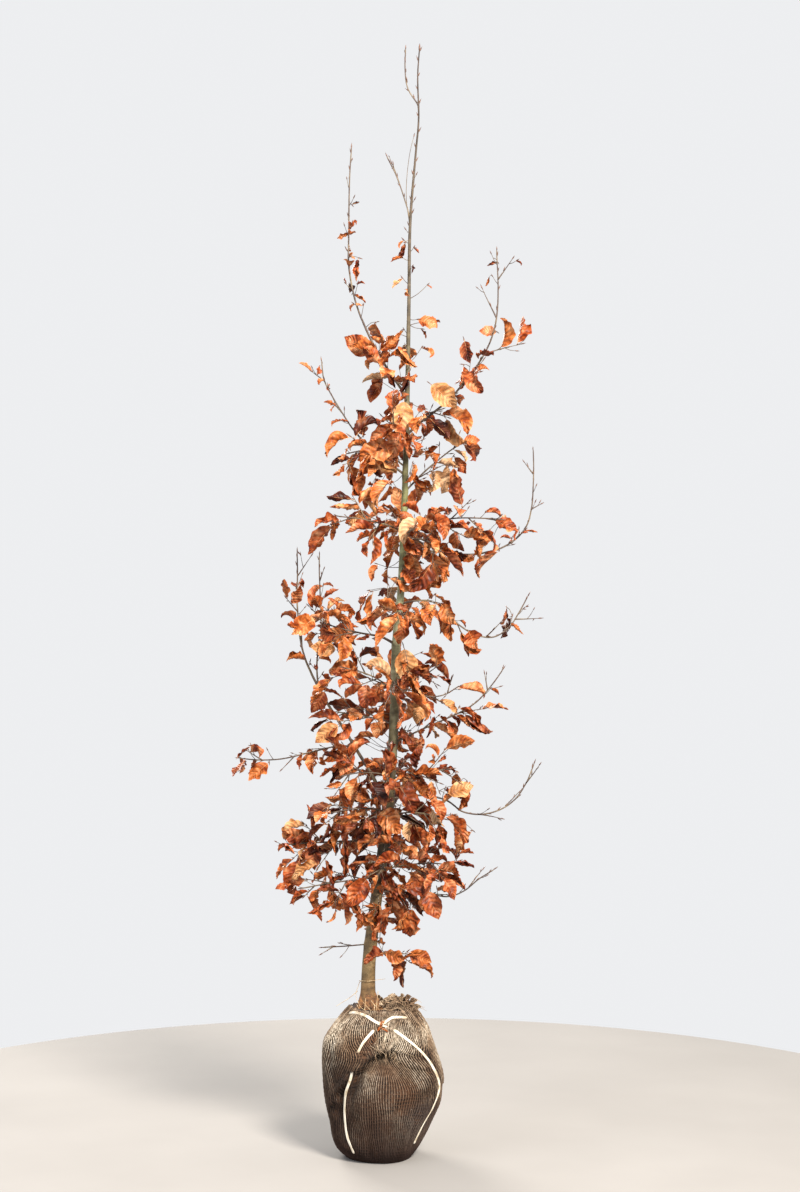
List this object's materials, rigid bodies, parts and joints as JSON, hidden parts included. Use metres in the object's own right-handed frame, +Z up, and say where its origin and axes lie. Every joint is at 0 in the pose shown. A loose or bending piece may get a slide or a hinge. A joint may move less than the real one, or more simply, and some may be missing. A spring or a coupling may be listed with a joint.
{
  "type": "root-balled young copper beech tree",
  "caption": "Slender young copper beech in dry winter leaf, feathered with boughs low down, standing on a hessian-wrapped root ball tied with flat twine.",
  "frame": {"origin": "middle of the root ball's flat underside, which stands on the ground", "axes": "+Z up along the plant's height, +X to the side that the trunk leans to, +Y to the plant's back"},
  "size_m": [0.7262, 0.4513, 2.502],
  "materials": {
    "bark": "smooth young beech bark, olive grey with a green bloom",
    "foliage": "dry curled copper-brown leaves on thin grey-brown twigs",
    "hessian": "loose jute weave stained by moist soil",
    "twine": "flat cream tying twine"
  },
  "bodies": {
    "root": {"trunk": "bark", "twine_shoulder": "twine", "twine_left": "twine", "twine_right": "twine", "twine_back": "twine", "root_ball": "hessian", "spray_leader_high": "foliage", "spray_leader_low": "foliage", "bough_left_shoot": "bark", "spray_left_shoot": "foliage", "spray_left_shoot_foot": "foliage", "bough_right_branch": "bark", "spray_right_branch": "foliage", "bough_left_mid": "bark", "spray_left_mid": "foliage", "spray_upper_left": "foliage", "spray_upper_right": "foliage", "spray_upper_right_twig": "foliage", "spray_upper_back": "foliage", "spray_upper_front": "foliage", "spray_middle_left": "foliage", "spray_middle_right": "foliage", "bough_right_low_long": "bark", "spray_right_low_long": "foliage", "spray_middle_front": "foliage", "spray_middle_back": "foliage", "spray_waist_right": "foliage", "bough_waist_left": "bark", "spray_waist_left": "foliage", "spray_waist_front": "foliage", "spray_waist_back": "foliage", "spray_lower_left_high": "foliage", "spray_lower_right_high": "foliage", "spray_lower_right_twig": "foliage", "spray_lower_front": "foliage", "spray_lower_left": "foliage", "spray_right_twig": "foliage", "spray_lower_back": "foliage", "bough_left_long": "bark", "spray_left_long": "foliage", "spray_left_fork": "foliage", "spray_left_twig": "foliage", "spray_low_left": "foliage", "spray_low_right": "foliage", "bough_right_long": "bark", "spray_right_long": "foliage", "spray_low_front": "foliage", "spray_low_back": "foliage", "spray_foot_left_high": "foliage", "bough_foot_left": "bark", "spray_foot_left": "foliage", "spray_foot_right_high": "foliage", "spray_foot_back": "foliage", "spray_foot_right": "foliage", "spray_foot_left_low": "foliage", "spray_foot_right_twig": "foliage", "spray_foot_front": "foliage", "spray_lowest_left_twig": "foliage", "spray_lowest_right": "foliage"}
  },
  "joints": []
}
